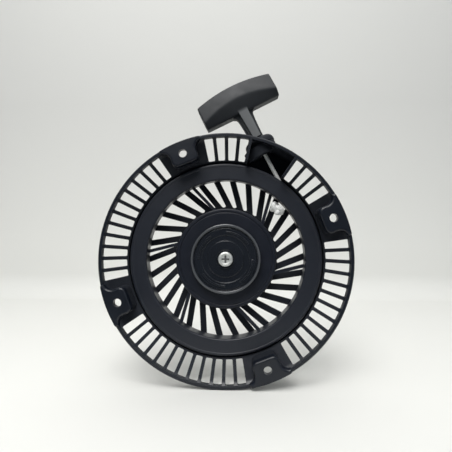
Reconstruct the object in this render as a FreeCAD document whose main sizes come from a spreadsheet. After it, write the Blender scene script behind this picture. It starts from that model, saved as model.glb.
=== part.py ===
import FreeCAD, Part
import math
import os
import Sketcher

# A recoil (pull-cord) starter for a small engine, in millimetres.
# Every piece is drawn in the starter's own working frame and then stood up by ENGINE_FRAME:
#   working x, y  : across the starter, as seen from the engine (x right, y up)
#   working z     : towards the engine; z = 0 is the mounting plane and the body hangs below it
# After ENGINE_FRAME the engine side faces -Y and +Z is up.

DIMENSIONS = {
    # housing
    "rim_radius": 111.4,          # outer edge of the housing
    "rim_inner": 108.4,           # inner edge of the thin rim
    "rim_top": -2.8,              # rim face, just under the mounting plane
    "rim_foot": -6.8,
    "drum_inner": 89.0,           # wall round the pulley
    "drum_wall": 2.4,
    "cone_start": -19.5,          # height where the slotted cone meets the drum wall
    "face_inner": -39.0,          # inside of the outer face
    "face_outer": -42.5,
    "badge_radius": 30.0,         # blank round cap on the outside
    "badge_proud": 1.4,
    "slot_pitch": 5.7,            # degrees
    "slot_count": 12,
    "rib_width": 3.1,
    "slot_inner": 90.4,
    "slot_outer": 108.2,
    "slot_corner": 0.9,
    "fin_count": 30,
    "fin_width": 5.6,
    "fin_offset": 25.2,           # fins run along tangents of a circle of this radius
    "fin_turn": -68.1,            # degrees
    "fin_inner": 50.2,
    "fin_outer": 79.0,
    "post_radius": 8.0,
    "post_top": -25.5,
    "spring_hub": 12.0,           # thicker foot of the post, inside the spring
    "spring_hub_top": -31.0,
    "post_bore": 5.0,
    "post_bore_floor": -41.0,
    # bolt pads
    "bolt_circle": 100.0,         # radius
    "bolt_hole": 3.6,             # radius
    "pad_turn": 22.5,             # degrees
    "pad_half": 12.0,
    "pad_inner": 90.2,
    "pad_corner": 5.0,
    "pad_flare": 7.0,
    "pad_foot": 106.0,            # where the flare meets the rim
    "pad_outer": 110.6,
    "pad_plate": 5.2,
    "pad_wall": 2.6,
    "pad_edge": 2.2,              # rounding of the pad's upper edge
    # rope and its outlet
    "rope_radius": 1.9,
    "rope_reach": 77.0,           # distance of the rope's line from the pulley's axis
    "rope_turn": 28.5,            # degrees
    "rope_height": -23.0,
    "outlet_end": 76.5,           # end of the round boss that carries the rope guide
    "boss_start": 68.0,
    "outlet_boss": 15.4,          # radius of that boss
    "outlet_shift": 2.0,          # the boss sits this much nearer to the axis than the rope
    "seat_play": 0.3,             # depth of the guide's seat beyond the guide
    "rope_gap": 4.2,              # radius of the hole in the drum wall that the rope leaves through
    "bay_wall": 2.2,
    "bay_end_wall": 1.2,          # degrees
    "bay_centre": 67.5,           # degrees
    "bay_half": 11.9,             # degrees
    "bay_floor": -33.5,
    "bay_outer": 110.0,
    "knot_turn": 45.3,            # degrees
    "knot_height": -23.5,
    "knot_place": 65.8,           # distance of the pulley's knot from the axis
    "knot_radius": 4.8,
    "knot_half": 8.3,
    "guide_radius": 14.0,
    "guide_length": 7.6,
    "guide_bore": 2.5,
    "guide_spigot": 5.0,
    # pulley
    "pulley_radius": 87.4,
    "pulley_eye": 72.2,           # inside of the pulley's rim, at the front
    "pulley_draft": 1.2,          # the eye is this much wider at the back
    "front_edge": 1.5,            # rounding of the rim's front edges
    "front_step": 0.35,           # height of the raised lip round the rim's front face
    "front_lip": 84.4,            # radius where that lip starts
    "hub_groove": 43.4,           # radius of the shallow groove in the hub's face
    "pulley_front": -17.0,
    "flange": 2.8,
    "groove_floor": 74.9,
    "groove_width": 12.6,
    "spoke_width": 3.0,
    "spoke_count": 6,
    "spoke_offset": 24.0,
    "spoke_inner": 39.0,
    "spoke_outer": 68.8,
    "spoke_turn": -75.0,          # degrees
    "spoke_top": -27.9,
    "spoke_foot": -31.5,
    "hub_radius": 47.0,
    "hub_top": -27.0,
    "hub_floor": 3.4,
    "cup_wall": 2.2,
    "cup_foot": -37.8,
    "boss_radius": 13.0,
    "boss_top": -25.6,
    "pulley_bore": 10.05,
    "pawl_spring_seat": 4.4,
    "seat_depth": 2.1,
    # retainer
    "retainer_radius": 32.6,
    "retainer_top": -20.3,
    "retainer_plate": 2.3,
    "retainer_bead": 1.8,
    "retainer_skirt": 2.0,
    "retainer_step": 0.55,        # height of the low rings on the cap
    "ring_outer": 28.0,
    "ring_inner": 22.0,
    "cap_boss": 16.4,
    "cap_dish": 8.6,
    "retainer_foot": -26.6,
    "retainer_bore": 6.1,
    "window_middle": 42.0,        # degrees
    "window_half": 43.0,          # degrees
    "arc_inner": 24.0,            # four raised arcs on the cap
    "arc_outer": 25.4,
    "arc_middle": 62.0,           # degrees
    "arc_half": 28.0,             # degrees
    "arc_height": 0.5,
    "cam_place": 25.5,
    "cam_turn": 63.0,             # degrees
    "cam_radius": 1.6,
    # centre screw
    "screw_head": 6.7,            # radius
    "screw_head_height": 4.2,
    "screw_ring": 4.7,            # radius where the raised edge of the head ends
    "screw_dish": 0.9,            # depth of the dish inside that edge
    "screw_recess": 3.5,          # length of one arm of the cross
    "screw_slot": 1.7,            # width of the cross
    "screw_recess_depth": 3.0,
    "screw_seat": -20.3,
    "screw_shank": 3.0,
    "screw_length": 19.0,
    # pawls
    "pawl_pivot": 26.0,
    "pawl_thickness": 3.0,
    "pawl_top": -23.6,
    "pawl_length": 18.0,
    "pawl_direction": 108.0,      # degrees, at rest
    "pin_radius": 2.0,
    # recoil spring
    "spring_inner": 15.8,
    "spring_outer": 43.4,
    "spring_turns": 9,
    "spring_strip": 0.6,
    # grip
    "grip_place": 124.6,          # along the rope's line
    "grip_tilt": -1.5,            # degrees
    "grip_half": 36.8,
    "grip_crown": 14.2,
    "grip_end_top": 9.3,
    "grip_bottom": -13.2,
    "grip_depth": 19.0,
    "stem_half_top": 7.6,
    "stem_half_foot": 6.3,
    "stem_foot": -39.9,
    "stem_depth": 13.0,
    "grip_top_share": 0.66,       # width of the bar's top as a share of its depth
    "grip_foot_share": 0.64,
    "grip_knot": 4.4,
    "knot_pocket": 5.0,
    "washer_seat": -2.5,
    "line_start": 27.5,
}

doc = FreeCAD.newDocument("recoil_starter")
sheet = doc.addObject("Spreadsheet::Sheet", "dims")
for row, (alias, value) in enumerate(DIMENSIONS.items(), start=1):
    sheet.set("A%d" % row, alias)
    sheet.set("B%d" % row, str(value))
    sheet.setAlias("B%d" % row, alias)
doc.recompute()


class Size:
    """A length or angle: its value now and the sheet formula that it is bound to."""

    def __init__(self, value, formula=None):
        self.value = float(value)
        self.formula = formula or "%.6f" % self.value

    @staticmethod
    def of(other):
        return other if isinstance(other, Size) else Size(other)

    def joined(self, sign, other, value):
        return Size(value, "(%s %s %s)" % (self.formula, sign, other.formula))

    def __add__(self, other):
        other = Size.of(other)
        return self.joined("+", other, self.value + other.value)

    def __sub__(self, other):
        other = Size.of(other)
        return self.joined("-", other, self.value - other.value)

    def __mul__(self, other):
        other = Size.of(other)
        return self.joined("*", other, self.value * other.value)

    def __truediv__(self, other):
        other = Size.of(other)
        return self.joined("/", other, self.value / other.value)

    def __radd__(self, other):
        return Size.of(other) + self

    def __rsub__(self, other):
        return Size.of(other) - self

    def __rmul__(self, other):
        return Size.of(other) * self

    def __neg__(self):
        return Size(-self.value, "(0 - %s)" % self.formula)


def dim(alias):
    return Size(DIMENSIONS[alias], "dims." + alias)


def root_of_squares(first, second, sign="+"):
    """Square root of first^2 + second^2, or of their difference."""
    inside = first.value ** 2 + second.value ** 2 * (1 if sign == "+" else -1)
    return Size(math.sqrt(inside), "sqrt((%s)^2 %s (%s)^2)" % (first.formula, sign, second.formula))


def cosine(angle):
    return Size(math.cos(math.radians(angle.value)), "cos((%s) * 1deg)" % angle.formula)


def sine(angle):
    return Size(math.sin(math.radians(angle.value)), "sin((%s) * 1deg)" % angle.formula)


def polar_point(radius, angle):
    radius = Size.of(radius)
    return radius * cosine(angle), radius * sine(angle)


ENGINE_FRAME = FreeCAD.Placement(FreeCAD.Vector(0, 0, 0), FreeCAD.Rotation(FreeCAD.Vector(1, 0, 0), 90))
AXIS_Z = FreeCAD.Vector(0, 0, 1)


def turned(angle, x=0.0, y=0.0, z=0.0):
    """Placement in the working frame: turned about z, then moved."""
    return FreeCAD.Placement(FreeCAD.Vector(x, y, z), FreeCAD.Rotation(AXIS_Z, angle))


pieces = []


def stand(piece, local=None):
    """Gives a finished piece its place in the upright frame."""
    piece.Label = piece.Name
    piece.Placement = ENGINE_FRAME.multiply(local or FreeCAD.Placement())
    pieces.append(piece)


def new_body(name):
    return doc.addObject("PartDesign::Body", name)


def new_sketch(body, name, role="XY_Plane", height=None):
    sketch = body.newObject("Sketcher::SketchObject", body.Name + "_" + name)
    plane = [item for item in body.Origin.OriginFeatures if item.Role == role][0]
    sketch.AttachmentSupport = [(plane, "")]
    sketch.MapMode = "FlatFace"
    if height is not None:
        sketch.AttachmentOffset = FreeCAD.Placement(FreeCAD.Vector(0, 0, height.value), FreeCAD.Rotation())
        sketch.setExpression("AttachmentOffset.Base.z", height.formula)
    return sketch


def bind(sketch, kind, arguments, size):
    index = sketch.addConstraint(Sketcher.Constraint(kind, *arguments, size.value))
    sketch.setExpression("Constraints[%d]" % index, size.formula)


def arc_middle(start, end, radius):
    """Middle of the arc from start to end; a positive radius turns left, a negative one right."""
    chord = end.sub(start)
    half = 0.5 * chord.Length
    rise = abs(radius) - math.sqrt(max(radius * radius - half * half, 0.0))
    outwards = FreeCAD.Vector(chord.y, -chord.x, 0).normalize().multiply(math.copysign(rise, radius))
    return start.add(chord.multiply(0.5)).add(outwards)


def outline(sketch, corners):
    """A closed outline whose corners are bound to the sheet.

    A corner is (x, y), or (x, y, radius) where an arc of that radius arrives at it."""
    corners = [tuple(Size.of(number) for number in corner) for corner in corners]
    spots = [FreeCAD.Vector(corner[0].value, corner[1].value, 0) for corner in corners]
    count = len(corners)
    starts = []
    for i, corner in enumerate(corners):
        before = spots[i - 1]
        if len(corner) == 2:
            side = sketch.addGeometry(Part.LineSegment(before, spots[i]), False)
            starts.append((side, 1, 2))
            continue
        middle = arc_middle(before, spots[i], corner[2].value)
        side = sketch.addGeometry(Part.Arc(before, middle, spots[i]), False)
        leftwards = corner[2].value > 0
        starts.append((side, 1, 2) if leftwards else (side, 2, 1))
    for i in range(count):
        side, start, end = starts[i]
        following, next_start, next_end = starts[(i + 1) % count]
        sketch.addConstraint(Sketcher.Constraint("Coincident", side, end, following, next_start))
    for i, corner in enumerate(corners):
        side, start, end = starts[i]
        bind(sketch, "DistanceX", (-1, 1, side, end), corner[0])
        bind(sketch, "DistanceY", (-1, 1, side, end), corner[1])
        if len(corner) == 3:
            size = corner[2] if corner[2].value > 0 else -corner[2]
            bind(sketch, "Radius", (side,), size)


def circle(sketch, x, y, radius):
    x, y, radius = Size.of(x), Size.of(y), Size.of(radius)
    round_edge = Part.Circle(FreeCAD.Vector(x.value, y.value, 0), AXIS_Z, radius.value)
    index = sketch.addGeometry(round_edge, False)
    bind(sketch, "Radius", (index,), radius)
    bind(sketch, "DistanceX", (-1, 1, index, 3), x)
    bind(sketch, "DistanceY", (-1, 1, index, 3), y)


def extrude(body, kind, sketch, depth, name, downwards=True, symmetric=False):
    """Pad or Pocket of a sketch, from its plane down (away from the engine) by default."""
    feature = body.newObject("PartDesign::" + kind, body.Name + "_" + name)
    feature.Profile = sketch
    depth = Size.of(depth)
    feature.Length = depth.value
    feature.setExpression("Length", depth.formula)
    if symmetric:
        feature.Midplane = True
    else:
        feature.Reversed = downwards if kind == "Pad" else not downwards
    body.Tip = feature
    return feature


def cut_out(body, sketch, depth, name, downwards=True):
    """A Pocket that must take material away."""
    doc.recompute()
    before = body.Tip.Shape.Volume
    pocket = extrude(body, "Pocket", sketch, depth, name, downwards)
    doc.recompute()
    if pocket.Shape.Volume > before - 0.5:
        raise RuntimeError("%s removes nothing" % pocket.Name)
    return pocket


def turn(body, sketch, name, kind="Revolution", angle=360.0):
    feature = body.newObject("PartDesign::" + kind, body.Name + "_" + name)
    feature.Profile = sketch
    feature.ReferenceAxis = (sketch, ["V_Axis"])
    feature.Angle = angle
    body.Tip = feature
    return feature


def repeat(body, feature, sketch, count, name):
    pattern = body.newObject("PartDesign::PolarPattern", body.Name + "_" + name)
    pattern.Originals = [feature]
    pattern.Axis = (sketch, ["N_Axis"])
    pattern.Angle = 360
    pattern.Occurrences = count
    body.Tip = pattern
    return pattern


def lathe(name, profile, local=None):
    """A round piece: its half section (radius, height) turned about the axis."""
    body = new_body(name)
    sketch = new_sketch(body, "section", "XZ_Plane")
    outline(sketch, profile)
    turn(body, sketch, "turned")
    stand(body, local)
    return body


def tube(name, bore, radius, top, foot, local=None):
    return lathe(name, [(bore, foot), (radius, foot), (radius, top), (bore, top)], local)


def rounded(body, radius, chosen, name):
    """Rounds the edges that chosen(edge) picks from the body's last feature."""
    doc.recompute()
    base = body.Tip
    edges = ["Edge%d" % (i + 1) for i, edge in enumerate(base.Shape.Edges) if chosen(edge)]
    feature = body.newObject("PartDesign::Fillet", body.Name + "_" + name)
    feature.Base = (base, edges)
    feature.Radius = radius.value
    feature.setExpression("Radius", radius.formula)
    body.Tip = feature
    doc.recompute()
    return feature


# ---------------------------------------------------------------- housing

def housing_shell(body):
    """Rim, slotted cone, drum wall, outer face and centre post as one turned shell."""
    wall = dim("drum_inner") + dim("drum_wall")
    corner = 6.0
    sketch = new_sketch(body, "shell_section", "XZ_Plane")
    outline(sketch, [
        (dim("post_bore"), dim("post_top")),
        (dim("post_radius"), dim("post_top")),
        (dim("post_radius"), dim("spring_hub_top")),
        (dim("spring_hub"), dim("spring_hub_top")),
        (dim("spring_hub"), dim("face_inner")),
        (dim("drum_inner") - 3.5, dim("face_inner")),
        (dim("drum_inner") - 1.2, dim("face_inner") + 1.0),
        (dim("drum_inner") - 0.3, dim("face_inner") + 3.4),
        (dim("drum_inner"), dim("cone_start")),
        (dim("rim_inner"), dim("rim_top") - 1.6),
        (dim("rim_inner"), dim("rim_top")),
        (dim("rim_radius") - 0.8, dim("rim_top")),
        (dim("rim_radius"), dim("rim_top") - 0.8),
        (dim("rim_radius"), dim("rim_foot")),
        (dim("rim_inner") + 1.0, dim("rim_foot")),
        (wall + 0.2, dim("cone_start") - 2.0),
        (wall - 0.2, dim("face_outer") + corner),
        (wall - 0.6, dim("face_outer") + 0.5 * corner),
        (wall - 2.0, dim("face_outer") + 0.2 * corner),
        (wall - 4.6, dim("face_outer")),
        (dim("badge_radius") + 1.2, dim("face_outer")),
        (dim("badge_radius"), dim("face_outer") - dim("badge_proud")),
        (0, dim("face_outer") - dim("badge_proud")),
        (0, dim("post_bore_floor")),
        (dim("post_bore"), dim("post_bore_floor")),
    ])
    turn(body, sketch, "shell")


def slot_angles():
    """Middle angle of each slot of the quadrant that lies between two bolt pads."""
    middle = dim("pad_turn") + 45.0
    count = int(DIMENSIONS["slot_count"])
    return [middle + dim("slot_pitch") * (i - 0.5 * (count - 1)) for i in range(count)]


def slot_plan():
    """One slot about the x axis; its sides run along the middles of the ribs beside it."""
    half_pitch = dim("slot_pitch") / 2.0
    half_rib = dim("rib_width") / 2.0
    soft = dim("slot_corner")
    run_x, run_y = cosine(half_pitch), sine(half_pitch)
    near, far = [(dim(radius) * run_x + half_rib * run_y, dim(radius) * run_y - half_rib * run_x)
                 for radius in ("slot_inner", "slot_outer")]
    side_start = (near[0] + soft * run_x, near[1] + soft * run_y)
    side_end = (far[0] - soft * run_x, far[1] - soft * run_y)
    return [
        (side_start[0], -side_start[1], soft),
        (side_end[0], -side_end[1]),
        (far[0], soft - far[1], soft),
        (far[0], far[1] - soft),
        (side_end[0], side_end[1], soft),
        (side_start[0], side_start[1]),
        (near[0], near[1] - soft, soft),
        (near[0], soft - near[1]),
    ]


def housing_slots(body):
    """Twelve slots between each pair of pads, with ribs of even width left between them."""
    sketch = new_sketch(body, "slots", height=dim("rim_top") + 2.0)
    for middle in slot_angles():
        outline(sketch, placed(slot_plan(), middle))
    cut = cut_out(body, sketch, -dim("cone_start") + 4.2, "slot_cut")
    repeat(body, cut, sketch, 4, "slot_rings")


def housing_fins(body):
    """Openings between straight swept fins; each opening widens outwards from a round inner end."""
    sketch = new_sketch(body, "opening", height=dim("face_inner") + 1.0)
    half_fin = dim("fin_width") / 2.0
    pitch = 360.0 / DIMENSIONS["fin_count"]
    sides = []
    for turned_by, side in ((dim("fin_turn"), 1), (dim("fin_turn") + pitch, -1)):
        offset = dim("fin_offset") - half_fin * side
        normal_x, normal_y = cosine(turned_by), sine(turned_by)
        ends = []
        for radius in (dim("fin_inner"), dim("fin_outer")):
            along = root_of_squares(radius, offset, "-")
            ends.append((offset * normal_x - along * normal_y, offset * normal_y + along * normal_x))
        sides.append(ends)
    first, second = sides
    mouth = root_of_squares(first[0][0] - second[0][0], first[0][1] - second[0][1])
    outline(sketch, [first[0] + (mouth * 0.55,), first[1], second[1], second[0]])
    cut = cut_out(body, sketch, dim("face_inner") - dim("face_outer") + 3.0, "opening_cut")
    repeat(body, cut, sketch, int(DIMENSIONS["fin_count"]), "openings")


def pad_plan():
    """Plan of a bolt pad: flat inner end, rounded corners, sides that flare into the rim."""
    half, corner, flare = dim("pad_half"), dim("pad_corner"), dim("pad_flare")
    inner, outer, foot = dim("pad_inner"), dim("pad_outer"), dim("pad_foot")
    spread = half + flare
    reach = root_of_squares(outer, spread, "-")
    return [
        (inner, corner - half),
        (inner + corner, -half, corner),
        (foot - flare, -half),
        (foot, -spread, -flare),
        (reach, -spread),
        (reach, spread, outer),
        (foot, spread),
        (foot - flare, half, -flare),
        (inner + corner, half),
        (inner, half - corner, corner),
    ]


def pad_pocket_plan():
    """Plan of the pocket behind a bolt pad; it stays inside the pad's own plan."""
    wall = dim("pad_wall")
    half, corner = dim("pad_half") - wall, dim("pad_corner") - wall / 2.0
    inner, outer = dim("pad_inner") + wall, dim("pad_outer") - wall
    return [
        (inner, corner - half),
        (inner + corner, -half, corner),
        (outer, -half),
        (outer, half),
        (inner + corner, half),
        (inner, half - corner, corner),
    ]


def placed(points, angle):
    """Points of a plan whose x runs outwards, turned to an angle."""
    cos_a, sin_a = cosine(angle), sine(angle)
    points = [tuple(Size.of(number) for number in point) for point in points]
    return [(p[0] * cos_a - p[1] * sin_a, p[0] * sin_a + p[1] * cos_a) + p[2:] for p in points]


def housing_pads(body):
    """Solid tongues under the mounting plane; the outside is trimmed and hollowed later."""
    sketch = new_sketch(body, "pad")
    outline(sketch, placed(pad_plan(), dim("pad_turn")))
    tongue = extrude(body, "Pad", sketch, -dim("cone_start"), "pad_block")
    repeat(body, tongue, sketch, 4, "pad_blocks")


def housing_pad_trim(body):
    """Cuts away what the pad blocks leave outside the cone."""
    wall = dim("drum_inner") + dim("drum_wall")
    sketch = new_sketch(body, "pad_trim", "XZ_Plane")
    outline(sketch, [
        (wall + 0.2, dim("cone_start") - 2.0),
        (dim("rim_inner") + 1.0, dim("rim_foot")),
        (dim("rim_radius"), dim("rim_foot")),
        (dim("rim_radius") + 6.0, dim("rim_foot")),
        (dim("rim_radius") + 6.0, dim("cone_start") - 2.0),
    ])
    doc.recompute()
    before = body.Tip.Shape.Volume
    turn(body, sketch, "trim", "Groove")
    doc.recompute()
    if body.Tip.Shape.Volume > before - 0.5:
        raise RuntimeError("the trim removes nothing")


def housing_pad_pockets(body):
    """Pockets that take the bolt heads from outside, and the bolt holes."""
    sketch = new_sketch(body, "bolt_pocket", height=-dim("pad_plate"))
    outline(sketch, placed(pad_pocket_plan(), dim("pad_turn")))
    hollow = cut_out(body, sketch, -dim("cone_start"), "bolt_pocket_cut")
    repeat(body, hollow, sketch, 4, "bolt_pockets")
    holes = new_sketch(body, "bolt_hole", height=Size(1.0))
    circle(holes, *polar_point(dim("bolt_circle"), dim("pad_turn")), dim("bolt_hole"))
    drilled = cut_out(body, holes, dim("pad_plate") + 2.0, "bolt_hole_cut")
    repeat(body, drilled, holes, 4, "bolt_holes")


def sector(inner, outer, middle, half):
    """Plan of a curved box: an arc of a ring, as a polygon."""
    steps = 4
    angles = [middle + half * (2.0 * i / steps - 1.0) for i in range(steps + 1)]
    outside = [polar_point(outer, angle) for angle in angles]
    inside = [polar_point(inner, angle) for angle in angles]
    return outside + inside[::-1]


def across_rope(body, name, place):
    """A sketch square to the rope's line at a place along it; its pads run back to the pulley."""
    sketch = new_sketch(body, name, "XZ_Plane")
    across = FreeCAD.Rotation(FreeCAD.Vector(0, 1, 0), DIMENSIONS["rope_turn"])
    sketch.AttachmentOffset = FreeCAD.Placement(across.multVec(FreeCAD.Vector(0, 0, -place.value)), across)
    return sketch


def housing_outlet(body):
    """The bay where the rope leaves the drum, and the round boss that carries the rope guide."""
    floor, roof = dim("bay_floor"), dim("rim_top")
    bay = new_sketch(body, "bay", height=roof)
    outline(bay, sector(dim("drum_inner"), dim("bay_outer"), dim("bay_centre"), dim("bay_half")))
    extrude(body, "Pad", bay, roof - floor + dim("bay_wall"), "bay_block")
    hollow = new_sketch(body, "bay_hollow", height=roof + 1.0)
    inside = dim("bay_half") - dim("bay_end_wall")
    outline(hollow, sector(dim("drum_inner") - 1.5, dim("rim_inner"), dim("bay_centre"), inside))
    cut_out(body, hollow, roof + 1.0 - floor, "bay_cut")
    gap = across_rope(body, "rope_gap", Size(60.0))
    circle(gap, dim("rope_reach"), dim("rope_height"), dim("rope_gap"))
    cut_out(body, gap, Size(26.0), "rope_gap_cut", downwards=False)
    boss = across_rope(body, "boss", dim("outlet_end"))
    circle(boss, dim("rope_reach") - dim("outlet_shift"), dim("rope_height"), dim("outlet_boss"))
    extrude(body, "Pad", boss, dim("outlet_end") - dim("boss_start"), "boss_block", downwards=False)
    seat = across_rope(body, "guide_seat", dim("outlet_end"))
    circle(seat, dim("rope_reach"), dim("rope_height"), dim("guide_radius") + 0.02)
    cut_out(body, seat, dim("guide_length") + dim("seat_play"), "guide_seat_cut")
    hole = across_rope(body, "guide_hole", dim("outlet_end") + 1.0)
    circle(hole, dim("rope_reach"), dim("rope_height"), dim("guide_spigot"))
    cut_out(body, hole, dim("outlet_end") - dim("boss_start") + 2.0, "guide_hole_cut", downwards=False)


def on_pad_top(edge):
    """Upper edges of the bolt pads, without the bolt holes and the edge along the rim."""
    box = edge.BoundBox
    flat_on_top = abs(box.ZMin) < 0.01 and abs(box.ZMax) < 0.01
    middle = edge.valueAt(0.5 * (edge.FirstParameter + edge.LastParameter))
    reach = math.hypot(middle.x, middle.y)
    closed = len(edge.Vertexes) == 1
    return flat_on_top and not closed and reach < DIMENSIONS["pad_outer"] - 0.3


def build_housing():
    body = new_body("housing")
    housing_shell(body)
    housing_pads(body)
    housing_pad_trim(body)
    housing_slots(body)
    housing_fins(body)
    housing_pad_pockets(body)
    housing_outlet(body)
    rounded(body, dim("pad_edge"), on_pad_top, "pad_rounding")
    stand(body)


# ---------------------------------------------------------------- pulley

def build_pulley():
    front = dim("pulley_front")
    groove_top = front - dim("flange")
    groove_foot = groove_top - dim("groove_width")
    back = groove_foot - dim("flange")
    body = new_body("pulley")
    rim = new_sketch(body, "rim_section", "XZ_Plane")
    edge, step = dim("front_edge"), dim("front_step")
    outline(rim, [
        (dim("pulley_eye"), front - step - edge),
        (dim("pulley_eye") + edge, front - step, -edge),
        (dim("front_lip"), front - step),
        (dim("front_lip") + step, front),
        (dim("pulley_radius") - edge, front),
        (dim("pulley_radius"), front - edge, -edge),
        (dim("pulley_radius"), groove_top),
        (dim("groove_floor"), groove_top),
        (dim("groove_floor"), groove_foot),
        (dim("pulley_radius"), groove_foot),
        (dim("pulley_radius"), back),
        (dim("pulley_eye") + dim("pulley_draft"), back),
    ])
    turn(body, rim, "rim")
    hub_under = dim("hub_top") - dim("hub_floor")
    hub = new_sketch(body, "hub_section", "XZ_Plane")
    outline(hub, [
        (dim("pulley_bore"), dim("boss_top")),
        (dim("boss_radius"), dim("boss_top")),
        (dim("boss_radius"), dim("hub_top")),
        (dim("hub_groove") - 0.7, dim("hub_top")),
        (dim("hub_groove"), dim("hub_top") - 0.6),
        (dim("hub_groove") + 0.7, dim("hub_top")),
        (dim("hub_radius") - edge, dim("hub_top")),
        (dim("hub_radius"), dim("hub_top") - edge, -edge),
        (dim("hub_radius"), dim("cup_foot")),
        (dim("hub_radius") - dim("cup_wall"), dim("cup_foot")),
        (dim("hub_radius") - dim("cup_wall"), hub_under),
        (dim("pulley_bore"), hub_under),
    ])
    turn(body, hub, "hub")
    spoke = new_sketch(body, "spoke", height=dim("spoke_top"))
    near = dim("spoke_offset") - dim("spoke_width") / 2.0
    far = dim("spoke_offset") + dim("spoke_width") / 2.0
    inner, outer = dim("spoke_inner"), dim("spoke_outer")
    plan = [(near, inner + 0.5), (far, inner - 0.5), (far, outer - 0.5), (near, outer + 0.5)]
    outline(spoke, placed(plan, dim("spoke_turn")))
    arm = extrude(body, "Pad", spoke, dim("spoke_top") - dim("spoke_foot"), "arm")
    repeat(body, arm, spoke, int(DIMENSIONS["spoke_count"]), "arms")
    pockets = new_sketch(body, "spring_pockets", height=dim("hub_top"))
    pins = new_sketch(body, "pin_holes", height=dim("hub_top"))
    for side in (1, -1):
        circle(pockets, dim("pawl_pivot") * side, 0, dim("pawl_spring_seat"))
        circle(pins, dim("pawl_pivot") * side, 0, dim("pin_radius") + 0.02)
    cut_out(body, pockets, dim("seat_depth"), "spring_pocket_cut")
    cut_out(body, pins, dim("hub_floor") + 1.0, "pin_hole_cut")
    hole = new_sketch(body, "rope_hole", "XZ_Plane")
    across = FreeCAD.Rotation(FreeCAD.Vector(0, 1, 0), DIMENSIONS["knot_turn"] + 90.0)
    start = across.multVec(FreeCAD.Vector(0, 0, DIMENSIONS["knot_place"]))
    hole.AttachmentOffset = FreeCAD.Placement(start, across)
    circle(hole, 0, dim("knot_height"), dim("rope_radius") + 0.4)
    cut_out(body, hole, Size(14.0), "rope_hole_cut", downwards=False)
    stand(body)


# ---------------------------------------------------------------- round pieces on the axis

def build_retainer():
    """Round cap over the pawls: beaded plate, skirt with two windows, two cam posts."""
    radius, top, skirt = dim("retainer_radius"), dim("retainer_top"), dim("retainer_skirt")
    under, bead, step = top - dim("retainer_plate"), top + dim("retainer_bead"), dim("retainer_step")
    body = new_body("retainer")
    section = new_sketch(body, "section", "XZ_Plane")
    outline(section, [
        (dim("retainer_bore"), under),
        (radius - skirt, under),
        (radius - skirt, dim("retainer_foot")),
        (radius, dim("retainer_foot")),
        (radius, top),
        (radius - dim("retainer_bead"), bead, dim("retainer_bead")),
        (radius - dim("retainer_bead") * 2.0, top, dim("retainer_bead")),
        (dim("ring_outer") + step, top),
        (dim("ring_outer"), top + step),
        (dim("ring_inner"), top + step),
        (dim("ring_inner") - step, top),
        (dim("cap_boss") + step, top),
        (dim("cap_boss"), top + step),
        (dim("cap_dish"), top + step),
        (dim("cap_dish") - step, top - 0.2),
        (dim("retainer_bore"), top - 0.2),
    ])
    turn(body, section, "cap")
    windows = new_sketch(body, "window", height=under)
    outline(windows, sector(radius - skirt - 0.6, radius + 1.0, dim("window_middle"), dim("window_half")))
    cut = cut_out(body, windows, under - dim("retainer_foot") + 1.0, "window_cut")
    repeat(body, cut, windows, 2, "windows")
    posts = new_sketch(body, "posts", height=under + 0.2)
    circle(posts, *polar_point(dim("cam_place"), dim("cam_turn")), dim("cam_radius"))
    post = extrude(body, "Pad", posts, 3.4, "post")
    repeat(body, post, posts, 2, "cam_posts")
    arcs = new_sketch(body, "arc", height=top + step)
    inner, outer = dim("arc_inner"), dim("arc_outer")
    start, end = dim("arc_middle") - dim("arc_half"), dim("arc_middle") + dim("arc_half")
    outline(arcs, [
        polar_point(outer, start),
        polar_point(outer, end) + (outer,),
        polar_point(inner, end),
        polar_point(inner, start) + (-inner,),
    ])
    arc = extrude(body, "Pad", arcs, dim("arc_height"), "raised_arc", downwards=False)
    repeat(body, arc, arcs, 4, "raised_arcs")
    stand(body)


def build_centre_screw():
    """Pan-head screw with a raised edge round a shallow dish and a cross recess in it."""
    head, seat = dim("screw_head"), dim("screw_seat")
    top, foot = seat + dim("screw_head_height"), seat - dim("screw_length")
    body = new_body("centre_screw")
    section = new_sketch(body, "section", "XZ_Plane")
    outline(section, [
        (0, foot),
        (dim("screw_shank") - 0.6, foot),
        (dim("screw_shank"), foot + 0.8),
        (dim("screw_shank"), seat),
        (head, seat),
        (head, top - 1.4),
        (head - 1.4, top, 1.4),
        (dim("screw_ring"), top),
        (dim("screw_ring") - 0.7, top - dim("screw_dish")),
        (0, top - dim("screw_dish")),
    ])
    turn(body, section, "turned")
    recess = new_sketch(body, "recess", height=top)
    arm, half = dim("screw_recess"), dim("screw_slot") / 2.0
    outline(recess, [
        (arm, -half), (arm, half), (half, half), (half, arm), (-half, arm), (-half, half),
        (-arm, half), (-arm, -half), (-half, -half), (-half, -arm), (half, -arm), (half, -half),
    ])
    cut_out(body, recess, dim("screw_recess_depth"), "recess_cut")
    stand(body)


def build_sleeves():
    """Turned sleeves on the axis."""
    insert_foot = dim("post_bore_floor") + 0.6
    tube("post_insert", Size(3.06), dim("post_bore") - 0.04, dim("post_top") - 0.4, insert_foot)
    collar_top, collar_foot = dim("screw_seat") - 0.02, dim("post_top") + 0.02
    tube("retainer_collar", Size(3.15), dim("retainer_bore") - 0.05, collar_top, collar_foot)
    bush_foot = dim("hub_top") - dim("hub_floor") + 0.1
    bush_top = dim("boss_top") - 0.1
    tube("pulley_bush", dim("post_radius") + 0.05, dim("pulley_bore") - 0.03, bush_top, bush_foot)


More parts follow.
